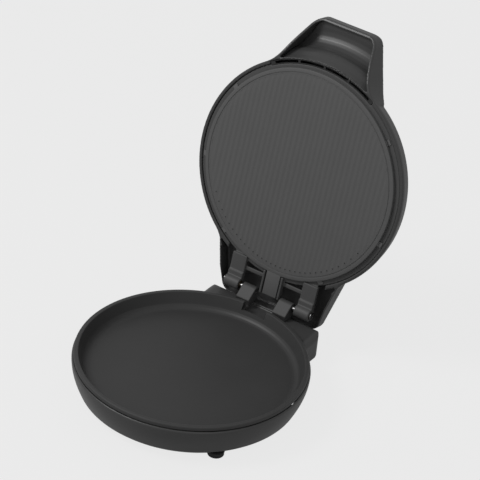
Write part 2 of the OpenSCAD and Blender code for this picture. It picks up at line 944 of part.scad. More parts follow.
module upper_reflector() {
    color("#c9c9c6")
    lid_pose()
        difference() {
            translate([0, 0, ring_top + seat_gap])
                rotate_extrude($fn = 180)
                    polygon([
                            [0, 8], [ledge_radius - 9, 8], [ledge_radius - 4, 0], [ledge_radius + 2.5, 0],
                            [ledge_radius + 2.5, reflector_wall], [ledge_radius - 3, reflector_wall],
                            [ledge_radius - 8, 8 + reflector_wall], [0, 8 + reflector_wall]]);
            leg_holes(ring_top + 8);
            translate([0, 0, ring_top])
                cylinder(r = 9, h = 20, $fn = 48);
        }
}

module upper_thermostat() {
    color("#b9a98a")
    lid_pose()
        translate([0, 0, plate_back + seat_gap])
            union() {
                cylinder(r = 8, h = 13, $fn = 48);
                translate([-12, -3, 0])
                    cube([24, 6, 1.2]);
            }
}

module vent_grille() {
    slot_angle = 2 * vent_half_angle / grille_bars;
    rib_angle = 1.2;
    color("#262628")
    lid_pose()
        difference() {
            translate([0, 0, ring_face_height])
                vent_sector(grille_inner, grille_outer, 0, ring_thickness);
            for (i = [0:grille_bars - 1])
                rotate(front_turn - vent_half_angle + i * slot_angle + rib_angle / 2)
                    rotate_extrude(angle = slot_angle - rib_angle, $fn = 180)
                        translate([grille_inner + 1.2, ring_face_height - 2])
                            square([grille_outer - grille_inner - 2.4, ring_thickness + 4]);
        }
}

// half section of the scoop under the handle as a bent sheet, from the vent slots outwards
module liner_section(thickness) {
    low = ring_top - 0.2;
    bend_r = liner_step + liner_bend;
    bend_z = handle_top - handle_tip_drop - 17.5;
    over = liner_bend + thickness;
    polygon(concat(
        [[grille_outer + 2 * seat_gap, low], [lid_radius - 0.4, low],
         [liner_step - 8, low + 7], [liner_step - 3, low + 13.5], [liner_step - 0.6, low + 18.5]],
        [for (a = [180:-15:75]) [bend_r + liner_bend * cos(a), bend_z + liner_bend * sin(a)]],
        [[handle_reach, bend_z + liner_bend * sin(75)], [handle_reach, bend_z + over * sin(75)]],
        [for (a = [75:15:180]) [bend_r + over * cos(a), bend_z + over * sin(a)]],
        [[liner_step - 0.6 - thickness, low + 19.5], [liner_step - 3 - thickness, low + 14.5],
         [liner_step - 8 - thickness, low + 8], [grille_outer + 2 * seat_gap, low + 3]]));
}

module handle_liner() {
    color("#3c3c3e")
    lid_pose()
        intersection() {
            translate([0, 0, lid_edge_height])
                linear_extrude(handle_rise)
                    handle_plan(handle_wall + seat_gap);
            rotate(front_turn - 60)
                rotate_extrude(angle = 120, $fn = 180)
                    liner_section(liner_wall);
        }
}

module lamp(side) {
    lid_pose()
        translate([side * lamp_side, -lamp_forward, lamp_seat + 2])
            union() {
                cylinder(r = lamp_radius, h = 9.5, $fn = 32);
                translate([0, 0, -2])
                    cylinder(r = lamp_radius + 1.2, h = 2 + tiny, $fn = 32);
            }
}

module lamp_power() {
    color("#b02018")
    lamp(-1);
}

module lamp_ready() {
    color("#208a3a")
    lamp(1);
}

module lamp_holder() {
    color("#262628")
    lid_pose()
        translate([-24, -lamp_forward - 8, lamp_seat - seat_gap - 2.4])
            cube([48, 16, 2.4]);
}

module plate_clip(i) {
    lid_pose()
        rotate(clip_turns[i])
            translate([plate_radius + seat_gap, -4, ring_face_height - seat_gap - 3])
                union() {
                    cube([1, 8, 3]);
                    translate([0, 0, 2])
                        cube([5, 8, 1]);
                }
}

module plate_clip_a() {
    color("#8c8c8a")
    plate_clip(0);
}

module plate_clip_b() {
    color("#8c8c8a")
    plate_clip(1);
}

module plate_clip_c() {
    color("#8c8c8a")
    plate_clip(2);
}

module plate_clip_d() {
    color("#8c8c8a")
    plate_clip(3);
}

module plate_clip_e() {
    color("#8c8c8a")
    plate_clip(4);
}

module plate_clip_f() {
    color("#8c8c8a")
    plate_clip(5);
}

module lid_screw(i) {
    lid_pose()
        rotate(lid_boss_turns[i])
            translate([lid_boss_radius, 0, 0])
                union() {
                    translate([0, 0, ring_face_height - seat_gap - 1.6])
                        cylinder(r = 3.6, h = 1.6, $fn = 32);
                    translate([0, 0, ring_face_height - seat_gap - tiny])
                        cylinder(r = screw_radius, h = 12, $fn = 32);
                }
}

module lid_screw_a() {
    color("#a8a8a6")
    lid_screw(0);
}

module lid_screw_b() {
    color("#a8a8a6")
    lid_screw(1);
}

module lid_screw_c() {
    color("#a8a8a6")
    lid_screw(2);
}

module lid_screw_d() {
    color("#a8a8a6")
    lid_screw(3);
}

module hinge_bush(side) {
    x0 = side * knuckle_centre - knuckle_width / 2;
    lid_pose()
        difference() {
            axis_bar(bush_radius, x0, x0 + knuckle_width);
            axis_bar(pin_radius + pin_clearance, x0 - 1, x0 + knuckle_width + 1);
        }
}

module hinge_bush_left() {
    color("#c8a85a")
    hinge_bush(-1);
}

module hinge_bush_right() {
    color("#c8a85a")
    hinge_bush(1);
}

base_shell();
bottom_cover();
lower_pan();
lower_element();
lower_reflector();
lower_thermostat();
thermal_fuse();
terminal_block();
inlet_gland();
gland_nut();
hinge_post_left();
hinge_post_right();
hinge_pin_left();
hinge_pin_right();
foot_front_left();
foot_front_right();
foot_rear_left();
foot_rear_right();
foot_screw_front_left();
foot_screw_front_right();
foot_screw_rear_left();
foot_screw_rear_right();
pan_screw_a();
pan_screw_b();
pan_screw_c();
lid_shell();
lid_frame();
upper_plate();
upper_element();
upper_reflector();
upper_thermostat();
vent_grille();
handle_liner();
lamp_power();
lamp_ready();
lamp_holder();
plate_clip_a();
plate_clip_b();
plate_clip_c();
plate_clip_d();
plate_clip_e();
plate_clip_f();
lid_screw_a();
lid_screw_b();
lid_screw_c();
lid_screw_d();
hinge_bush_left();
hinge_bush_right();
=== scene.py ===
"""Electric pizza maker with a round base pan and a hinged, domed lid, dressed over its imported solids."""

import logging
import math
from dataclasses import dataclass, field
from enum import Enum
from typing import Any, Callable, Dict, List, Optional, Sequence, Tuple

import bmesh
import bpy
from mathutils import Matrix, Vector


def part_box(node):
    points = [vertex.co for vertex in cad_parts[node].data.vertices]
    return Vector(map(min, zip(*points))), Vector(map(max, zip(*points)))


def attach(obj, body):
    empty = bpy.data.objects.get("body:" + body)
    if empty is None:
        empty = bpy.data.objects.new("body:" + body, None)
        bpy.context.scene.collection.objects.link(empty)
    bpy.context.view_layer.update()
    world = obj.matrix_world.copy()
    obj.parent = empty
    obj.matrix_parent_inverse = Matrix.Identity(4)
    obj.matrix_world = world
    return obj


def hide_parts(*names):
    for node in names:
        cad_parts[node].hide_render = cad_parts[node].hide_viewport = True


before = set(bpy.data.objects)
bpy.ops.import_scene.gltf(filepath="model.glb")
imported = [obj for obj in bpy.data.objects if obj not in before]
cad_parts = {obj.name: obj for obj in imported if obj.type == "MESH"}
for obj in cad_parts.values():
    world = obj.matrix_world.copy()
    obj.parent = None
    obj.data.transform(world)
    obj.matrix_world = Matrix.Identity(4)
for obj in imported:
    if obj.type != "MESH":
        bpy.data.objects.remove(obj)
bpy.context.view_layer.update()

LOG = logging.getLogger("pizza_maker")
MM = 0.001

# A radius below this, in millimetres, lies on the axis of a turned form.
ON_AXIS = 1e-6

# Pointiness of a flat face, the places of the Mix node's colour sockets, and the place of a math node's third input.
FLAT = 0.5
MIX_FACTOR, MIX_FIRST, MIX_SECOND, MIX_RESULT = 0, 6, 7, 2
MATH_THIRD = 2

Colour = Tuple[float, float, float, float]
Point = Tuple[float, float]
Spot = Tuple[float, float, float]


class Body(Enum):
    """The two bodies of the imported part."""

    BASE = "base"
    LID = "lid"


class Slot(Enum):
    """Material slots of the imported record."""

    PLASTIC = "black_plastic"
    PLATE = "nonstick_plate"
    STEEL = "steel"


# --------------------------------------------------------------------------- shader node groups


@dataclass
class Graph:
    """A node tree with short calls for adding and joining nodes."""

    tree: bpy.types.NodeTree

    def add(self, kind: str, **values: Any) -> bpy.types.Node:
        """Adds a node and sets its properties or its inputs by name.

        Args:
            kind: The node's type, such as "ShaderNodeTexNoise".
            **values: Properties of the node, or inputs with spaces written as underscores.

        Returns:
            The new node.
        """
        made = self.tree.nodes.new(kind)
        for name, value in values.items():
            if hasattr(made, name) and name not in ("inputs", "outputs"):
                setattr(made, name, value)
            else:
                made.inputs[name.replace("_", " ")].default_value = value
        return made

    def join(self, start: bpy.types.NodeSocket, end: bpy.types.NodeSocket) -> None:
        """Joins an output to an input."""
        self.tree.links.new(start, end)

    def maths(self, operation: str, first: Any, second: Any = 0.0, clamp: bool = False) -> bpy.types.NodeSocket:
        """Adds a math node.

        Args:
            operation: The node's operation, such as "MULTIPLY".
            first: A socket or a number.
            second: A socket or a number.
            clamp: True keeps the result between 0 and 1.

        Returns:
            The result socket.
        """
        made = self.tree.nodes.new("ShaderNodeMath")
        made.operation = operation
        made.use_clamp = clamp
        for index, value in enumerate((first, second)):
            if isinstance(value, bpy.types.NodeSocket):
                self.join(value, made.inputs[index])
            else:
                made.inputs[index].default_value = value
        return made.outputs[0]

    def blend(self, factor: Any, first: Any, second: Any) -> bpy.types.NodeSocket:
        """Mixes two colours.

        Args:
            factor: A socket or a number.
            first: The colour at 0, a socket or four numbers.
            second: The colour at 1, a socket or four numbers.

        Returns:
            The mixed colour's socket.
        """
        made = self.tree.nodes.new("ShaderNodeMix")
        made.data_type = "RGBA"
        for index, value in ((MIX_FACTOR, factor), (MIX_FIRST, first), (MIX_SECOND, second)):
            if isinstance(value, bpy.types.NodeSocket):
                self.join(value, made.inputs[index])
            else:
                made.inputs[index].default_value = value
        return made.outputs[MIX_RESULT]


def group(name: str, inputs: Dict[str, float], outputs: Dict[str, str],
          fill: Callable[[Graph, Any, Any], None]) -> bpy.types.NodeTree:
    """Makes a shader node group once and returns it.

    Args:
        name: The group's name.
        inputs: Names and default values of its float inputs.
        outputs: Names and socket types of its outputs.
        fill: A function that is given the graph, the group's input node and its output node.

    Returns:
        The group's node tree.
    """
    known = bpy.data.node_groups.get(name)
    if known:
        return known
    tree = bpy.data.node_groups.new(name, "ShaderNodeTree")
    for label, value in inputs.items():
        made = tree.interface.new_socket(label, in_out="INPUT", socket_type="NodeSocketFloat")
        made.default_value = value
    for label, kind in outputs.items():
        tree.interface.new_socket(label, in_out="OUTPUT", socket_type=kind)
    graph = Graph(tree)
    fill(graph, tree.nodes.new("NodeGroupInput"), tree.nodes.new("NodeGroupOutput"))
    return tree


def grain_group() -> bpy.types.NodeTree:
    """Makes the group for the fine pitted grain of a moulded or sprayed surface.

    Returns:
        The group, with the grain's height and a mask for colour and roughness.
    """

    def fill(g: Graph, given: Any, out: Any) -> None:
        """Builds the grain from two sizes of noise.

        Args:
            g: The group's graph.
            given: Its input node.
            out: Its output node.
        """
        place = g.add("ShaderNodeTexCoord")
        fine = g.add("ShaderNodeTexNoise", Detail=3.0, Roughness=0.6)
        g.join(place.outputs["Object"], fine.inputs["Vector"])
        g.join(given.outputs["Grain Scale"], fine.inputs["Scale"])
        broad = g.add("ShaderNodeTexNoise", Scale=22.0, Detail=4.0, Roughness=0.55)
        g.join(place.outputs["Object"], broad.inputs["Vector"])
        fine_part = g.maths("MULTIPLY", fine.outputs["Fac"], given.outputs["Grain"])
        broad_part = g.maths("MULTIPLY", broad.outputs["Fac"], given.outputs["Mottle"])
        g.join(fine_part, out.inputs["Height"])
        g.join(g.maths("ADD", fine_part, broad_part, True), out.inputs["Mask"])

    return group("moulded_grain", {"Grain Scale": 900.0, "Grain": 0.6, "Mottle": 0.5},
                 {"Height": "NodeSocketFloat", "Mask": "NodeSocketFloat"}, fill)


def wear_group() -> bpy.types.NodeTree:
    """Makes the group for the paler, rubbed look of outer edges.

    Returns:
        The group, with a mask that is 1 where an edge is rubbed.
    """

    def fill(g: Graph, given: Any, out: Any) -> None:
        """Builds the edge mask from the surface's pointiness.

        Args:
            g: The group's graph.
            given: Its input node.
            out: Its output node.
        """
        shape = g.add("ShaderNodeNewGeometry")
        raised = g.maths("SUBTRACT", shape.outputs["Pointiness"], FLAT)
        edge = g.maths("MULTIPLY", raised, given.outputs["Reach"], True)
        place = g.add("ShaderNodeTexCoord")
        patch = g.add("ShaderNodeTexNoise", Scale=60.0, Detail=4.0, Roughness=0.7)
        g.join(place.outputs["Object"], patch.inputs["Vector"])
        cover = g.maths("MULTIPLY", patch.outputs["Fac"], given.outputs["Cover"], True)
        broken = g.maths("MULTIPLY", edge, cover, True)
        g.join(g.maths("MULTIPLY", broken, given.outputs["Amount"], True), out.inputs["Mask"])

    return group("edge_wear", {"Reach": 8.0, "Cover": 1.6, "Amount": 0.4}, {"Mask": "NodeSocketFloat"}, fill)


def placed(g: Graph, tree: bpy.types.NodeTree, values: Dict[str, float]) -> bpy.types.Node:
    """Places a node group in a material.

    Args:
        g: The material's graph.
        tree: The group.
        values: Its inputs by name.

    Returns:
        The group's node.
    """
    made = g.add("ShaderNodeGroup")
    made.node_tree = tree
    for name, value in values.items():
        made.inputs[name].default_value = value
    return made


# --------------------------------------------------------------------------- finishes


@dataclass(frozen=True)
class Finish:
    """A satin or matt finish with grain, mottling and rubbed edges.

    Attributes:
        name: Name of the material.
        colour: Main colour, linear.
        tint: Colour in the mottled patches, linear.
        worn: Colour of rubbed edges, linear.
        roughness: Lowest roughness.
        spread: How much the grain raises the roughness.
        metallic: Metallic value.
        grain_scale: Size of the grain, in cells a metre.
        bump: Height of the grain in metres.
        wear: Strength of the rubbed edges.
        coat: Weight of a clear coat.
        specular: Specular level.
    """

    name: str
    colour: Colour
    tint: Colour
    worn: Colour
    roughness: float = 0.45
    spread: float = 0.12
    metallic: float = 0.0
    grain_scale: float = 1400.0
    bump: float = 0.00006
    wear: float = 0.3
    coat: float = 0.0
    specular: float = 0.5

    def material(self) -> bpy.types.Material:
        """Makes the finish's material the first time it is asked for.

        Returns:
            The material.
        """
        known = bpy.data.materials.get(self.name)
        if known:
            return known
        made = bpy.data.materials.new(self.name)
        made.use_nodes = True
        made.node_tree.nodes.clear()
        g = Graph(made.node_tree)
        out = g.add("ShaderNodeOutputMaterial")
        shader = g.add("ShaderNodeBsdfPrincipled", Metallic=self.metallic, Coat_Weight=self.coat,
                       Specular_IOR_Level=self.specular)
        grain = placed(g, grain_group(), {"Grain Scale": self.grain_scale})
        wear = placed(g, wear_group(), {"Amount": self.wear})
        base = g.blend(grain.outputs["Mask"], self.colour, self.tint)
        g.join(g.blend(wear.outputs["Mask"], base, self.worn), shader.inputs["Base Color"])
        rough = g.maths("MULTIPLY_ADD", grain.outputs["Mask"], self.spread)
        rough.node.inputs[MATH_THIRD].default_value = self.roughness
        g.join(rough, shader.inputs["Roughness"])
        bump = g.add("ShaderNodeBump", Strength=0.6, Distance=self.bump)
        g.join(grain.outputs["Height"], bump.inputs["Height"])
        g.join(bump.outputs["Normal"], shader.inputs["Normal"])
        g.join(shader.outputs["BSDF"], out.inputs["Surface"])
        return made


def grey(level: float, warm: float = 0.0) -> Colour:
    """Returns a linear grey, a little warmer where warm is above 0."""
    return (level * (1.0 + warm), level, level * (1.0 - warm), 1.0)


SHELL_PLASTIC = Finish("shell_plastic", grey(0.04), grey(0.05), grey(0.07), roughness=0.3, spread=0.1,
                       bump=0.00003, wear=0.2, specular=0.36)
FRAME_PLASTIC = Finish("frame_plastic", grey(0.058), grey(0.07), grey(0.1), roughness=0.44, spread=0.14,
                       wear=0.2, specular=0.3)
HINGE_PLASTIC = Finish("hinge_plastic", grey(0.042), grey(0.052), grey(0.08), roughness=0.42, spread=0.14,
                       wear=0.2, specular=0.25)
# Near-black plastic of the bottom cover, gland, grille and lamp holder; on the rib-end studs the same near black is
# painted shade, standing in for the shadow in small pits.
DARK_PLASTIC_AND_PAINTED_SHADE = Finish("dark_plastic_and_painted_pit_shade", grey(0.014), grey(0.02), grey(0.04), roughness=0.5, specular=0.3)
PLATE_COATING = Finish("plate_coating", grey(0.08), grey(0.096), grey(0.13), roughness=0.45, spread=0.16,
                       grain_scale=2200.0, bump=0.00004, specular=0.3)
PAN_COATING = Finish("pan_coating", grey(0.03), grey(0.04), grey(0.08), roughness=0.36, spread=0.16,
                     grain_scale=2200.0, bump=0.00004, specular=0.3)
STEEL = Finish("bright_steel", grey(0.3), grey(0.36), grey(0.5), roughness=0.28, metallic=1.0, wear=0.1)
CLIP_STEEL = Finish("clip_steel", grey(0.15), grey(0.19), grey(0.3), roughness=0.4, metallic=1.0, wear=0.1)
DARK_STEEL = Finish("heater_sheath", grey(0.2, 0.03), grey(0.3, 0.03), grey(0.4), roughness=0.4, metallic=1.0)
SHEET = Finish("reflector_sheet", grey(0.3), grey(0.36), grey(0.4), roughness=0.45, metallic=1.0)
RUBBER = Finish("foot_rubber", grey(0.012), grey(0.02), grey(0.04), roughness=0.75)
CERAMIC = Finish("white_ceramic", grey(0.6, 0.05), grey(0.7, 0.05), grey(0.75), roughness=0.35)
BRONZE = Finish("bush_bronze", (0.12, 0.09, 0.05, 1.0), (0.15, 0.11, 0.07, 1.0), (0.3, 0.22, 0.12, 1.0),
                roughness=0.45, metallic=1.0)
RED_LENS = Finish("red_lens", (0.35, 0.01, 0.008, 1.0), (0.4, 0.015, 0.01, 1.0), (0.5, 0.05, 0.04, 1.0),
                  roughness=0.15, coat=0.5)
GREEN_LENS = Finish("green_lens", (0.01, 0.2, 0.03, 1.0), (0.015, 0.25, 0.04, 1.0), (0.05, 0.35, 0.08, 1.0),
                    roughness=0.15, coat=0.5)


# --------------------------------------------------------------------------- shaping tools

# The lid's own pieces are modelled with the lid shut, and LID_POSE swings them back to the open pose of rest.
HINGE_LINE = Vector((0.0, 0.189, 0.063))
OPEN_ANGLE = math.radians(103.0)
LID_POSE = (Matrix.Translation(HINGE_LINE) @ Matrix.Rotation(-OPEN_ANGLE, 4, "X")
            @ Matrix.Translation(-HINGE_LINE))

# Edges sharper than this stay sharp in the shading.
SMOOTH_ANGLE = math.radians(32.0)


@dataclass
class Piece:
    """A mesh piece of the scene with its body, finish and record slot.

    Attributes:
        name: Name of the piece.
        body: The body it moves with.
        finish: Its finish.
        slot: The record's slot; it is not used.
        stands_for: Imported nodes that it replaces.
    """

    name: str
    body: Body
    finish: Finish
    slot: Slot
    stands_for: Tuple[str, ...] = ()

    def place(self, mesh: bpy.types.Mesh) -> bpy.types.Object:
        """Puts a mesh into the scene as this piece.

        Args:
            mesh: The finished mesh, in the place it has at rest.

        Returns:
            The new object.
        """
        mesh.name = self.name
        mesh.materials.clear()
        mesh.materials.append(self.finish.material())
        made = bpy.data.objects.new(self.name, mesh)
        bpy.context.scene.collection.objects.link(made)
        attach(made, self.body.value)
        if self.stands_for:
            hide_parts(*self.stands_for)
        LOG.info("made %s with %d faces", self.name, len(mesh.polygons))
        return made


def lathe(form: bmesh.types.BMesh, profile: Sequence[Point], segments: int,
          place: Optional[Matrix] = None) -> None:
    """Turns a profile round the Z axis into a form.

    Args:
        form: The form that gets the faces.
        profile: Radius and height of each point, in millimetres; a radius of 0 closes the form on the axis.
        segments: Steps round the axis.
        place: Where the turned form goes, in metres; nothing leaves it on the Z axis.
    """
    place = place or Matrix.Identity(4)
    rings: List[List[bmesh.types.BMVert]] = []
    for radius, height in profile:
        steps = 1 if radius < ON_AXIS else segments
        turns = [math.tau * step / segments for step in range(steps)]
        rings.append([form.verts.new(place @ Vector((radius * MM * math.cos(a), radius * MM * math.sin(a),
                                                     height * MM))) for a in turns])
    for low, high in zip(rings, rings[1:]):
        for step in range(segments):
            after = (step + 1) % segments
            corners = [low[step % len(low)], low[after % len(low)], high[after % len(high)],
                       high[step % len(high)]]
            unique = list(dict.fromkeys(corners))
            if len(unique) > 2:
                form.faces.new(unique)


def block(form: bmesh.types.BMesh, low: Spot, high: Spot, rounding: float) -> None:
    """Adds a block with rounded edges to a form.

    Args:
        form: The form that gets the faces.
        low: Lowest corner in millimetres.
        high: Highest corner in millimetres.
        rounding: Radius of the edges in millimetres.
    """
    middle = [(a + b) / 2 * MM for a, b in zip(low, high)]
    size = [(b - a) * MM for a, b in zip(low, high)]
    made = bmesh.ops.create_cube(form, size=1.0, matrix=Matrix.Translation(middle) @ Matrix.Diagonal((*size, 1.0)))
    edges = list({edge for corner in made["verts"] for edge in corner.link_edges})
    bmesh.ops.bevel(form, geom=edges, offset=rounding * MM, segments=3, profile=0.5, affect="EDGES")


def finished(form: bmesh.types.BMesh, place: Optional[Matrix] = None) -> bpy.types.Mesh:
    """Turns a form into a mesh with outward faces and smooth shading by angle.

    Args:
        form: The form, which is freed.
        place: A last move of the whole form, in metres.

    Returns:
        The new mesh.
    """
    if place:
        form.transform(place)
    bmesh.ops.recalc_face_normals(form, faces=form.faces[:])
    mesh = bpy.data.meshes.new("form")
    form.to_mesh(mesh)
    form.free()
    mesh.shade_smooth()
    mesh.set_sharp_from_angle(angle=SMOOTH_ANGLE)
    return mesh


# --------------------------------------------------------------------------- moulded skins


@dataclass(frozen=True)
class Moulding:
    """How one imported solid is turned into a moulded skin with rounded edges.

    Attributes:
        node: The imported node.
        body: The body it moves with.
        finish: Its finish.
        grid: Size of the skin's mesh in millimetres.
        rounds: Rounds of smoothing, which set how far the edges are rounded.
        kept: Share of the faces that is kept.
    """

    node: str
    body: Body
    finish: Finish
    grid: float
    rounds: int
    kept: float = 0.3


@dataclass
class HandleRoot:
    """The wall that leads the handle's back down into the lid's dome, with the lid shut. Sizes are in millimetres.

    Attributes:
        shoulder_radius: Radius of the dome's foot.
        shoulder_height: Height of the dome's foot.
        rise: How far the dome's top stands above its foot.
        wall: Thickness of the wall.
        front: Where the wall starts, at the handle.
        back: Where it ends, on the dome.
        front_height: Height of the handle's back where the wall starts.
        slope: How steeply the handle's back falls towards the dome.
        front_half: Half the wall's width where it starts.
        spread: How much the half width grows towards the dome.
        widest_half: The most that the half width grows to.
        crest_height: Height of the handle's chamfer beside its crest.
        crest_half: Half the width of the handle's crest.
        chamfer_run: How far the chamfer runs out for each step down.
        blend: Height difference over which handle and dome flow together.
        sunk: How far the outer face lies below the handle's own.
        columns: Steps across the wall.
        rows: Steps along it.
    """

    shoulder_radius: float = 161.7
    shoulder_height: float = 89.0
    rise: float = 25.0
    wall: float = 2.4
    front: float = -150.0
    back: float = -113.0
    front_height: float = 108.1
    slope: float = 0.3
    front_half: float = 75.5
    spread: float = 0.35
    widest_half: float = 79.5
    crest_height: float = 126.0
    crest_half: float = 58.6
    chamfer_run: float = 0.9
    blend: float = 4.0
    sunk: float = 0.05
    columns: int = 44
    rows: int = 26

    def dome(self, x: float, y: float) -> float:
        """Returns the height of the dome at a place."""
        share = min(1.0, math.hypot(x, y) / self.shoulder_radius)
        return self.shoulder_height + self.rise * math.sqrt(1.0 - share * share)

    def height(self, x: float, y: float) -> float:
        """Finds the wall's outer face, where the handle's back runs softly into the dome.

        Args:
            x: Place across the handle, in millimetres.
            y: Place along it, in millimetres.

        Returns:
            The face's height in millimetres.
        """
        back = self.front_height - self.slope * (y - self.front)
        side = self.crest_height - (abs(x) - self.crest_half) / self.chamfer_run
        handle, dome = min(back, side), self.dome(x, y)
        near = max(0.0, 1.0 - abs(handle - dome) / self.blend)
        return max(handle, dome) + self.blend / 4 * near * near - self.sunk

    def add(self, form: bmesh.types.BMesh) -> None:
        """Adds the closed wall to a form that lies in the open pose.

        Args:
            form: The form that gets the faces.
        """
        sheets: List[List[List[bmesh.types.BMVert]]] = []
        for drop in (0.0, self.wall):
            sheet = []
            for row in range(self.rows + 1):
                y = self.front + (self.back - self.front) * row / self.rows
                half = min(self.widest_half, self.front_half + self.spread * (y - self.front))
                across = [half * (2 * column / self.columns - 1) for column in range(self.columns + 1)]
                sheet.append([form.verts.new(LID_POSE @ (Vector((x, y, self.height(x, y) - drop)) * MM))
                              for x in across])
            sheets.append(sheet)
        made = []
        for sheet in sheets:
            for low, high in zip(sheet, sheet[1:]):
                made += [form.faces.new((low[i], low[i + 1], high[i + 1], high[i])) for i in range(self.columns)]
        top, under = sheets
        rim = [[row[0] for row in sheet] + sheet[-1][1:] + [row[-1] for row in reversed(sheet[:-1])]
               + list(reversed(sheet[0][1:-1])) for sheet in (top, under)]
        for index in range(len(rim[0])):
            after = (index + 1) % len(rim[0])
            made.append(form.faces.new((rim[0][index], rim[0][after], rim[1][after], rim[1][index])))
        bmesh.ops.recalc_face_normals(form, faces=made)


@dataclass
class FlareSweep:
    """The sweep that leads the lid's round side into the straight side of the hinge flare. Sizes are in millimetres.

    Attributes:
        sweep: Radius of the sweep.
        levels: The lid's radius at each height, from the rim up.
        side_front: Where the flare's side starts, in plan.
        side_back: Where the flare's side ends, in plan.
        inward: How far the sweep reaches into the walls it joins.
        steps: Steps along the sweep.
    """

    sweep: float = 60.0
    levels: Tuple[Point, ...] = ((165.5, 66.1), (165.5, 72.0), (161.6, 88.0))
    side_front: Point = (104.3, 119.2)
    side_back: Point = (91.0, 159.0)
    inward: float = 2.4
    steps: int = 10

    def outline(self, radius: float) -> List[Point]:
        """Draws the plan of the sweep at one height.

        Args:
            radius: The lid's radius there.

        Returns:
            The corners of the closed plan.
        """
        run = Vector(self.side_back) - Vector(self.side_front)
        along = run.normalized()
        outward = Vector((along.y, -along.x))
        away = outward.dot(Vector(self.side_back)) + self.sweep
        centre = outward * away + along * math.sqrt((radius + self.sweep) ** 2 - away * away)
        start = math.atan2(-centre.y, -centre.x)
        end = math.atan2(-outward.y, -outward.x)
        turns = [start + (end - start) * step / self.steps for step in range(self.steps + 1)]
        outer = [centre + Vector((math.cos(a), math.sin(a))) * self.sweep for a in turns]
        inner = [outer[-1] - outward * self.inward, outer[0] - outer[0].normalized() * self.inward]
        return [(p.x, p.y) for p in outer + inner]

    def add(self, form: bmesh.types.BMesh) -> None:
        """Adds the sweep on both sides to a form that lies in the open pose.

        Args:
            form: The form that gets the faces.
        """
        for side in (-1, 1):
            rings = [[form.verts.new(LID_POSE @ (Vector((side * x, y, height)) * MM)) for x, y in self.outline(radius)]
                     for radius, height in self.levels]
            made = [form.faces.new(rings[0]), form.faces.new(rings[-1])]
            for low, high in zip(rings, rings[1:]):
                for index in range(len(low)):
                    after = (index + 1) % len(low)
                    made.append(form.faces.new((low[index], low[after], high[after], high[index])))
            bmesh.ops.recalc_face_normals(form, faces=made)


@dataclass
class MouldedSkins:
    """The plastic mouldings, with the small radius on every edge that a mould leaves.

    Attributes:
        mouldings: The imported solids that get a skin.
        handle_root: The wall at the root of the lid's handle.
        flare_sweep: The sweep from the lid's side to its flare.
    """

    mouldings: Tuple[Moulding, ...] = (
        Moulding("lid_shell", Body.LID, SHELL_PLASTIC, 1.1, 8, 0.25),
        Moulding("base_shell", Body.BASE, SHELL_PLASTIC, 1.1, 4, 0.35),
        Moulding("lid_frame", Body.LID, FRAME_PLASTIC, 0.9, 4, 0.3),
        Moulding("handle_liner", Body.LID, SHELL_PLASTIC, 0.9, 5, 0.4),
        Moulding("hinge_post_left", Body.BASE, HINGE_PLASTIC, 0.6, 5, 0.5),
        Moulding("hinge_post_right", Body.BASE, HINGE_PLASTIC, 0.6, 5, 0.5),
    )
    handle_root: HandleRoot = field(default_factory=HandleRoot)
    flare_sweep: FlareSweep = field(default_factory=FlareSweep)

    def body_of(self, moulding: Moulding) -> bpy.types.Mesh:
        """Gathers the closed forms that one moulding's skin is drawn round.

        Args:
            moulding: The moulding.

        Returns:
            A mesh of its own with all the forms.
        """
        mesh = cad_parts[moulding.node].data.copy()
        if moulding.node == "lid_shell":
            form = bmesh.new()
            form.from_mesh(mesh)
            self.handle_root.add(form)
            self.flare_sweep.add(form)
            form.to_mesh(mesh)
            form.free()
        return mesh

    def skin(self, moulding: Moulding) -> bpy.types.Mesh:
        """Draws the rounded skin of one moulding.

        Args:
            moulding: The moulding.

        Returns:
            The skin's mesh.
        """
        draft = bpy.data.objects.new("draft", self.body_of(moulding))
        bpy.context.scene.collection.objects.link(draft)
        remesh = draft.modifiers.new("skin", "REMESH")
        remesh.mode = "VOXEL"
        remesh.voxel_size = moulding.grid * MM
        smooth = draft.modifiers.new("rounding", "SMOOTH")
        smooth.factor = 0.5
        smooth.iterations = moulding.rounds
        lighter = draft.modifiers.new("lighter", "DECIMATE")
        lighter.ratio = moulding.kept
        mesh = bpy.data.meshes.new_from_object(draft.evaluated_get(bpy.context.evaluated_depsgraph_get()))
        bpy.data.objects.remove(draft)
        mesh.shade_smooth()
        return mesh

    def build(self) -> None:
        """Builds every moulding."""
        for moulding in self.mouldings:
            piece = Piece(moulding.node + "_skin", moulding.body, moulding.finish, Slot.PLASTIC, (moulding.node,))
            piece.place(self.skin(moulding))


# --------------------------------------------------------------------------- the ribbed plate


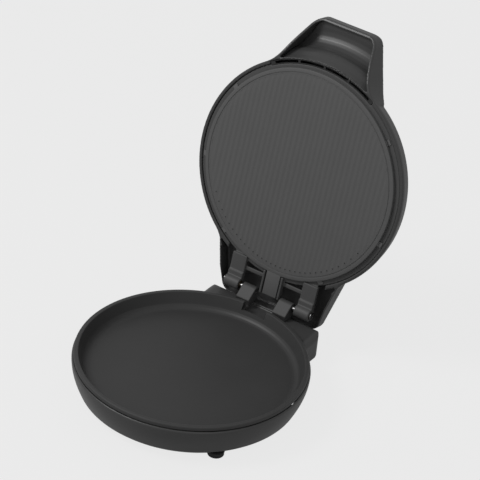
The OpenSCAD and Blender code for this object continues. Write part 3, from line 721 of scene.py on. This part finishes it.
@dataclass
class RibbedPlate:
    """The lid's ribbed cooking plate, modelled as it lies with the lid shut. Sizes are in millimetres.

    Attributes:
        radius: Outer radius.
        face: Height of the cooking face, which looks down.
        back: Height of the back.
        wall_top: Height of the side wall's top.
        wall: Thickness of the side wall.
        field_radius: Radius of the ribbed field.
        border_lap: How far the border reaches under the field.
        groove: Distance from the border's start and depth of each corner of the drip groove.
        edge: Distance from the outer radius and depth of each corner of the rounded edge.
        rib_pitch: Distance from rib to rib.
        rib_height: Height of a rib.
        rib_fade: Width of the band where the ribs run out.
        dot_radius: Radius of a stud.
        dot_height: How far a stud stands out.
        dot_shoulder: Radius and height of a stud's shoulder, as shares of its own.
        dot_sunk: How far a stud reaches into the plate.
        dot_inset: Distance of the studs from the field's edge.
        dot_reach: Share of the field's radius that the row of studs covers to each side.
        tongue_half: Half the tongue's width.
        tongue_end: Where the tongue ends behind the plate.
        tongue_lap: How far the tongue reaches into the plate.
        tongue_rounding: Radius of the tongue's edges.
        column_step: Distance from column to column of the field's mesh.
        rows: Steps along each column.
        segments: Steps round the border.
        dot_segments: Steps round a stud.
    """

    radius: float = 152.6
    face: float = 63.0
    back: float = 66.0
    wall_top: float = 67.8
    wall: float = 3.0
    field_radius: float = 144.6
    border_lap: float = 0.4
    groove: Tuple[Point, ...] = ((0.0, 0.0), (1.2, 0.0), (1.6, 0.7), (2.8, 0.7), (3.2, 0.0))
    edge: Tuple[Point, ...] = ((1.0, 0.0), (0.3, 0.3), (0.0, 1.0))
    rib_pitch: float = 8.0
    rib_height: float = 0.5
    rib_fade: float = 6.0
    dot_radius: float = 1.0
    dot_height: float = 0.4
    dot_shoulder: Point = (0.6, 0.8)
    dot_sunk: float = 0.6
    dot_inset: float = 5.0
    dot_reach: float = 0.86
    tongue_half: float = 11.5
    tongue_end: float = 187.0
    tongue_lap: float = 2.4
    tongue_rounding: float = 0.8
    column_step: float = 1.0
    rows: int = 40
    segments: int = 240
    dot_segments: int = 16

    def height(self, x: float, y: float) -> float:
        """Finds how far the ribs stand out at a place on the face.

        Args:
            x: Place across the ribs, in millimetres.
            y: Place along them, in millimetres.

        Returns:
            The height over the bare face in millimetres.
        """
        wave = 0.5 + 0.5 * math.cos(math.tau * x / self.rib_pitch)
        edge = max(0.0, min(1.0, (self.field_radius - math.hypot(x, y)) / self.rib_fade))
        return self.rib_height * wave * edge * edge * (3 - 2 * edge)

    def field(self, form: bmesh.types.BMesh) -> None:
        """Adds the ribbed field, column by column.

        Args:
            form: The form that gets the faces.
        """
        count = int(self.field_radius / self.column_step)
        columns: List[List[bmesh.types.BMVert]] = []
        for index in range(-count, count + 1):
            x = index * self.column_step
            half = math.sqrt(self.field_radius ** 2 - x * x)
            rows = [math.sin(math.pi / 2 * (2 * row / self.rows - 1)) * half for row in range(self.rows + 1)]
            columns.append([form.verts.new((x * MM, y * MM, (self.face - self.height(x, y)) * MM)) for y in rows])
        for left, right in zip(columns, columns[1:]):
            for row in range(self.rows):
                form.faces.new((left[row], left[row + 1], right[row + 1], right[row]))

    def rim(self, form: bmesh.types.BMesh) -> None:
        """Adds the flat border with its groove, the rounded edge, the side wall and the back.

        Args:
            form: The form that gets the faces.
        """
        start, inside = self.field_radius - self.border_lap, self.radius - self.wall
        border = [(start + out, self.face + depth) for out, depth in self.groove]
        border += [(self.radius - inset, self.face + depth) for inset, depth in self.edge]
        wall = [(self.radius, self.wall_top), (inside, self.wall_top), (inside, self.back), (0.0, self.back)]
        lathe(form, border + wall, self.segments)

    def dots(self) -> bmesh.types.BMesh:
        """Makes the small studs at the hinge ends of the ribs, whose near-black finish is painted shade for the shadow
        in small pits.

        Returns:
            A form with all the studs.
        """
        form = bmesh.new()
        count = int(self.field_radius * self.dot_reach / self.rib_pitch)
        share, rise = self.dot_shoulder
        profile = [(0.0, -self.dot_height), (self.dot_radius * share, -self.dot_height * rise),
                   (self.dot_radius, 0.0), (self.dot_radius, self.dot_sunk), (0.0, self.dot_sunk)]
        for index in range(-count, count + 1):
            x = index * self.rib_pitch
            y = math.sqrt((self.field_radius - self.dot_inset) ** 2 - x * x)
            spot = Matrix.Translation(Vector((x, y, self.face - self.height(x, y))) * MM)
            lathe(form, profile, self.dot_segments, spot)
        return form

    def build(self) -> None:
        """Builds the plate with its tongue between the hinge arms, and the studs with their painted pit shade."""
        form = bmesh.new()
        self.field(form)
        self.rim(form)
        block(form, (-self.tongue_half, self.radius - self.tongue_lap, self.face),
              (self.tongue_half, self.tongue_end, self.back), self.tongue_rounding)
        plate = Piece("ribbed_plate", Body.LID, PLATE_COATING, Slot.PLATE, ("upper_plate",))
        plate.place(finished(form, LID_POSE))
        # The studs' near-black finish is painted shade: dark raised dots stand in for the shadow inside small pits at
        # the rib ends.
        studs = Piece("rib_end_studs_painted_pit_shade", Body.LID, DARK_PLASTIC_AND_PAINTED_SHADE, Slot.PLATE)
        studs.place(finished(self.dots(), LID_POSE))


# --------------------------------------------------------------------------- feet, screws and lamps


@dataclass
class Feet:
    """The four rubber feet with their recessed cross-head screws. Sizes are in millimetres.

    Attributes:
        places: Where the feet stand, as their nodes are named.
        well: Radius of the screw well, as a share of the foot's.
        sole: Radius, as a share of the foot's, and height of each corner from the well to the foot's side.
        side: Radius and height of each corner of the grooved side, as shares of the foot's.
        head: Radius, as a share of the screw's, and height of each corner of the screw's head.
        shank: Radius of the shank, as a share of the head's.
        cross_width: Width of the cross recess.
        cross_reach: Half the cross's length, as a share of the head's radius.
        cross_depth: Depth of the cross.
        cross_rounding: Radius of the cross's edges.
        cutter_below: How far the cross's cutter stands out below the head.
        foot_segments: Steps round a foot.
        screw_segments: Steps round a screw.
    """

    places: Tuple[str, ...] = ("front_left", "front_right", "rear_left", "rear_right")
    well: float = 0.42
    sole: Tuple[Point, ...] = ((0.42, 2.2), (0.5, 0.4), (0.56, 0.0), (0.8, 0.0), (0.92, 0.5), (0.96, 1.4))
    side: Tuple[Point, ...] = ((0.93, 0.45), (0.97, 0.6), (1.0, 0.8), (1.0, 1.0))
    head: Tuple[Point, ...] = ((0.0, 0.0), (0.5, 0.15), (0.85, 0.6), (1.0, 1.3), (1.0, 2.4), (0.5, 2.4))
    shank: float = 0.5
    cross_width: float = 1.0
    cross_reach: float = 0.62
    cross_depth: float = 1.2
    cross_rounding: float = 0.15
    cutter_below: float = 1.0
    foot_segments: int = 64
    screw_segments: int = 32

    def measure(self, node: str) -> Tuple[float, float, Matrix]:
        """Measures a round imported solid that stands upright.

        Args:
            node: The solid's node.

        Returns:
            Its radius and height in millimetres, and the place of its lower end.
        """
        low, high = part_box(node)
        centre = (low + high) / 2
        return (high.x - low.x) / 2 / MM, (high.z - low.z) / MM, Matrix.Translation((centre.x, centre.y, low.z))

    def foot(self, node: str) -> None:
        """Builds one foot with a rounded sole, a groove round its side and a screw well.

        Args:
            node: The foot's node.
        """
        radius, top, place = self.measure(node)
        rim = (radius * self.well, top)
        sole = [(radius * share, height) for share, height in self.sole]
        side = [(radius * share, top * rise) for share, rise in self.side]
        form = bmesh.new()
        lathe(form, [rim] + sole + side + [rim], self.foot_segments, place)
        Piece(node + "_rubber", Body.BASE, RUBBER, Slot.PLASTIC, (node,)).place(finished(form))

    def screw(self, node: str) -> None:
        """Builds one domed screw with a cross recess that faces the floor.

        Args:
            node: The screw's node.
        """
        radius, top, place = self.measure(node)
        head = [(radius * share, height) for share, height in self.head]
        form = bmesh.new()
        lathe(form, head + [(radius * self.shank, top), (0.0, top)], self.screw_segments, place)
        cross = bmesh.new()
        reach, half = radius * self.cross_reach, self.cross_width / 2
        for x, y in ((reach, half), (half, reach)):
            block(cross, (-x, -y, -self.cutter_below), (x, y, self.cross_depth), self.cross_rounding)
        draft = bpy.data.objects.new("draft", finished(form))
        cutter = bpy.data.objects.new("cross", finished(cross, place))
        for part in (cutter, draft):
            bpy.context.scene.collection.objects.link(part)
        cut = draft.modifiers.new("cross", "BOOLEAN")
        cut.operation = "DIFFERENCE"
        cut.object = cutter
        cut.use_self = True
        result = bpy.data.meshes.new_from_object(draft.evaluated_get(bpy.context.evaluated_depsgraph_get()))
        bpy.data.objects.remove(draft)
        bpy.data.objects.remove(cutter)
        Piece(node + "_head", Body.BASE, STEEL, Slot.STEEL, (node,)).place(result)

    def build(self) -> None:
        """Builds the feet and their screws."""
        for place in self.places:
            self.foot("foot_" + place)
            self.screw("foot_screw_" + place)


@dataclass
class Lamps:
    """The two small domed lamp lenses at the front of the dome. Sizes are in millimetres.

    Attributes:
        side: Distance of each lamp from the middle.
        forward: Distance of both from the lid's axis.
        seat: Height of the collar's lower face, with the lid shut.
        radius: Radius of a lens.
        top: Height of its top.
        crown: Radius, as a share of the lens's, and drop below the top of each corner of the domed end.
        collar: How far the collar stands out round the lens.
        collar_height: Height of the collar.
        segments: Steps round a lens.
    """

    side: float = 13.0
    forward: float = 127.6
    seat: float = 94.0
    radius: float = 4.0
    top: float = 105.5
    crown: Tuple[Point, ...] = ((0.0, 0.0), (0.4, 0.1), (0.75, 0.6), (0.95, 1.5), (1.0, 2.6))
    collar: float = 1.2
    collar_height: float = 2.0
    segments: int = 40

    def lens(self, node: str, side: int, finish: Finish) -> None:
        """Builds one lens with its collar.

        Args:
            node: The lens's node.
            side: -1 for the left lamp, 1 for the right one.
            finish: The lens's finish.
        """
        crown = [(self.radius * share, self.top - drop) for share, drop in self.crown]
        rim, step = self.radius + self.collar, self.seat + self.collar_height
        collar = [(self.radius, step), (rim, step), (rim, self.seat), (0.0, self.seat)]
        form = bmesh.new()
        lathe(form, crown + collar, self.segments,
              Matrix.Translation((side * self.side * MM, -self.forward * MM, 0.0)))
        Piece(node + "_lens", Body.LID, finish, Slot.PLASTIC, (node,)).place(finished(form, LID_POSE))

    def build(self) -> None:
        """Builds both lenses."""
        self.lens("lamp_power", -1, RED_LENS)
        self.lens("lamp_ready", 1, GREEN_LENS)


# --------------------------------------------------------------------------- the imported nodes


@dataclass
class PackedNodes:
    """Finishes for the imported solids, by the words that their nodes' names start with."""

    finishes: Dict[str, Finish] = field(default_factory=lambda: {
        "base_shell": SHELL_PLASTIC, "bottom_cover": DARK_PLASTIC_AND_PAINTED_SHADE, "lower_pan": PAN_COATING,
        "lower_element": DARK_STEEL, "lower_reflector": SHEET, "lower_thermostat": CERAMIC,
        "thermal_fuse": CERAMIC, "terminal_block": CERAMIC, "inlet_gland": DARK_PLASTIC_AND_PAINTED_SHADE,
        "gland_nut": DARK_PLASTIC_AND_PAINTED_SHADE, "hinge_post": HINGE_PLASTIC, "hinge_pin": STEEL,
        "foot_screw": STEEL, "foot": RUBBER, "pan_screw": STEEL, "lid_shell": SHELL_PLASTIC,
        "lid_frame": FRAME_PLASTIC, "upper_plate": PLATE_COATING, "upper_element": DARK_STEEL,
        "upper_reflector": SHEET, "upper_thermostat": CERAMIC, "vent_grille": DARK_PLASTIC_AND_PAINTED_SHADE,
        "handle_liner": SHELL_PLASTIC, "lamp_power": RED_LENS, "lamp_ready": GREEN_LENS,
        "lamp_holder": DARK_PLASTIC_AND_PAINTED_SHADE, "plate_clip": CLIP_STEEL, "lid_screw": STEEL, "hinge_bush": BRONZE})

    def finish_for(self, node: str) -> Finish:
        """Finds a node's finish.

        Args:
            node: The node's name.

        Returns:
            The finish of the longest key that the name starts with.
        """
        keys = [key for key in self.finishes if node.startswith(key)]
        return self.finishes[max(keys, key=len)]

    def dress(self) -> None:
        """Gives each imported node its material."""
        for name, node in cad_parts.items():
            node.data.materials.clear()
            node.data.materials.append(self.finish_for(name).material())
            LOG.info("dressed %s", name)


# --------------------------------------------------------------------------- studio


@dataclass(frozen=True)
class SoftLight:
    """A soft square light of the studio.

    Attributes:
        name: Name of the light.
        place: Where it stands, in metres.
        size: Its side in metres.
        power: Its power in watts.
    """

    name: str
    place: Spot
    size: float
    power: float

    def add(self, aim: Spot) -> None:
        """Adds the light to the scene.

        Args:
            aim: The point it faces, in metres.
        """
        data = bpy.data.lights.new(self.name, "AREA")
        data.shape = "SQUARE"
        data.size = self.size
        data.energy = self.power
        made = bpy.data.objects.new(self.name, data)
        made.location = self.place
        made.rotation_mode = "QUATERNION"
        made.rotation_quaternion = (Vector(aim) - Vector(self.place)).to_track_quat("-Z", "Y")
        bpy.context.scene.collection.objects.link(made)


@dataclass
class Studio:
    """Floor, soft lights and the camera.

    Attributes:
        azimuth: Direction of the view round the vertical, in degrees.
        elevation: Height of the view over the level, in degrees.
        roll: Turn of the camera about its line of sight, in degrees.
        distance: Distance from the camera to its target, in metres.
        focal_pixels: Focal length in pixels of the frame.
        target: The point in the middle of the frame, in metres.
        frame_pixels: Width of the frame in pixels.
        sensor: Width of the camera's sensor in millimetres.
        near: Shortest distance that the camera sees, in metres.
        far: Longest distance that it sees, in metres.
        floor_size: Side of the floor in metres.
        pale: Grey level of the floor and of the world.
        evenness: Share of the even tone in what the camera sees of the floor.
        even_strength: Strength of that tone.
        bounce: Grey level of the floor for the light that it throws back.
        mirrored_share: Share of the even tone that glossy surfaces mirror.
        sky: Strength of the world's light.
        aim: The point that the lights face, in metres.
        lights: The lights.
    """

    azimuth: float = 30.98
    elevation: float = 32.72
    roll: float = 5.98
    distance: float = 3.37241
    focal_pixels: float = 2558.67
    target: Spot = (0.05716, 0.0, 0.27713)
    frame_pixels: float = 480.0
    sensor: float = 36.0
    near: float = 0.05
    far: float = 50.0
    floor_size: float = 12.0
    pale: float = 0.83
    evenness: float = 0.87
    even_strength: float = 1.08
    bounce: float = 0.38
    mirrored_share: float = 0.3
    sky: float = 0.62
    aim: Spot = (0.0, 0.05, 0.2)
    lights: Tuple[SoftLight, ...] = (
        SoftLight("key", (-1.5, -1.3, 2.5), 1.0, 48.0),
        SoftLight("fill", (2.2, -1.8, 1.8), 2.0, 6.0),
    )

    def camera(self) -> None:
        """Creates the camera, which looks at the target from the angles above."""
        data = bpy.data.cameras.new("camera")
        data.sensor_width = self.sensor
        data.lens = self.focal_pixels / self.frame_pixels * self.sensor
        data.clip_start = self.near
        data.clip_end = self.far
        made = bpy.data.objects.new("camera", data)
        bpy.context.scene.collection.objects.link(made)
        a, e, r = (math.radians(v) for v in (self.azimuth, self.elevation, self.roll))
        back = Vector((math.sin(a) * math.cos(e), -math.cos(a) * math.cos(e), math.sin(e)))
        right = Vector((math.cos(a), math.sin(a), 0.0))
        up = back.cross(right)
        right, up = (right * math.cos(r) + up * math.sin(r), up * math.cos(r) - right * math.sin(r))
        turn = Matrix((right, up, back)).transposed().to_4x4()
        made.matrix_world = Matrix.Translation(Vector(self.target) + back * self.distance) @ turn
        bpy.context.scene.camera = made

    def backdrop_material(self) -> bpy.types.Material:
        """Makes the pale floor's material, which keeps a light shadow.

        Returns:
            The material.
        """
        made = bpy.data.materials.new("pale_floor")
        made.use_nodes = True
        g = Graph(made.node_tree)
        shader = made.node_tree.nodes["Principled BSDF"]
        shader.inputs["Base Color"].default_value = grey(self.bounce)
        shader.inputs["Roughness"].default_value = 0.9
        shader.inputs["Specular IOR Level"].default_value = 0.0
        even = g.add("ShaderNodeEmission", Color=grey(self.pale), Strength=self.even_strength)
        path = g.add("ShaderNodeLightPath")
        mirrored = g.maths("MULTIPLY", path.outputs["Is Glossy Ray"], self.mirrored_share)
        seen = g.maths("MAXIMUM", path.outputs["Is Camera Ray"], mirrored)
        mix = g.add("ShaderNodeMixShader")
        g.join(g.maths("MULTIPLY", seen, self.evenness), mix.inputs[0])
        g.join(shader.outputs["BSDF"], mix.inputs[1])
        g.join(even.outputs["Emission"], mix.inputs[2])
        g.join(mix.outputs["Shader"], made.node_tree.nodes["Material Output"].inputs["Surface"])
        return made

    def floor(self) -> None:
        """Makes the floor under the feet."""
        half = self.floor_size / 2
        mesh = bpy.data.meshes.new("floor")
        corners = [(-half, -half, 0), (half, -half, 0), (half, half, 0), (-half, half, 0)]
        mesh.from_pydata(corners, [], [(0, 1, 2, 3)])
        made = bpy.data.objects.new("floor", mesh)
        made.data.materials.append(self.backdrop_material())
        bpy.context.scene.collection.objects.link(made)

    def build(self) -> None:
        """Builds the floor, the lights, the world and the camera."""
        world = bpy.data.worlds.new("studio")
        world.use_nodes = True
        background = world.node_tree.nodes["Background"]
        background.inputs["Color"].default_value = grey(self.pale)
        background.inputs["Strength"].default_value = self.sky
        bpy.context.scene.world = world
        self.floor()
        for light in self.lights:
            light.add(self.aim)
        self.camera()
        bpy.context.scene.view_settings.view_transform = "Standard"
        LOG.info("studio built")


def main() -> None:
    """Builds every sub-assembly in order."""
    logging.basicConfig(level=logging.INFO, format="%(message)s")
    Studio().build()
    PackedNodes().dress()
    MouldedSkins().build()
    RibbedPlate().build()
    Feet().build()
    Lamps().build()


if __name__ == "__main__":
    main()
